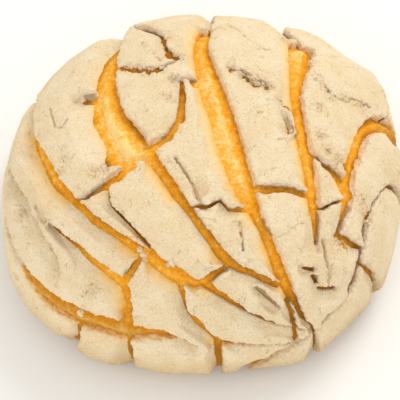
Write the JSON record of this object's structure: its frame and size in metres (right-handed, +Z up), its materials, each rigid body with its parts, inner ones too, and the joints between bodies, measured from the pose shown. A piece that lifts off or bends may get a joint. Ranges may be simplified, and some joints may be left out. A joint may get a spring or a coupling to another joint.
{
  "type": "coconut concha",
  "caption": "Round Mexican sweet bun, a golden dome of bread under a thick pale sugar-paste crust that has cracked along a scalloped fan of ribs.",
  "frame": {"origin": "centre of the bun's plan, on the surface that its flat base rests on", "axes": "+Z up out of the top of the bun, +X to the right of the hinge where the ribs of the crust meet, -Y towards that hinge, at the front"},
  "size_m": [0.1192, 0.1123, 0.0545],
  "materials": {
    "bread": "soft satin bread crust",
    "sugar_paste": "dry, sandy matt"
  },
  "bodies": {
    "root": {"bun": "bread", "crust_01": "sugar_paste", "crust_02": "sugar_paste", "crust_03": "sugar_paste", "crust_04": "sugar_paste", "crust_05": "sugar_paste", "crust_06": "sugar_paste", "crust_07": "sugar_paste", "crust_08": "sugar_paste", "crust_09": "sugar_paste", "crust_10": "sugar_paste", "crust_11": "sugar_paste", "crust_12": "sugar_paste", "crust_13": "sugar_paste", "crust_14": "sugar_paste", "crust_15": "sugar_paste", "crust_16": "sugar_paste", "crust_17": "sugar_paste", "crust_18": "sugar_paste", "crust_19": "sugar_paste", "crust_20": "sugar_paste", "crust_21": "sugar_paste", "crust_22": "sugar_paste", "crust_23": "sugar_paste", "crust_24": "sugar_paste", "crust_25": "sugar_paste", "crust_26": "sugar_paste", "crust_27": "sugar_paste"}
  },
  "joints": []
}
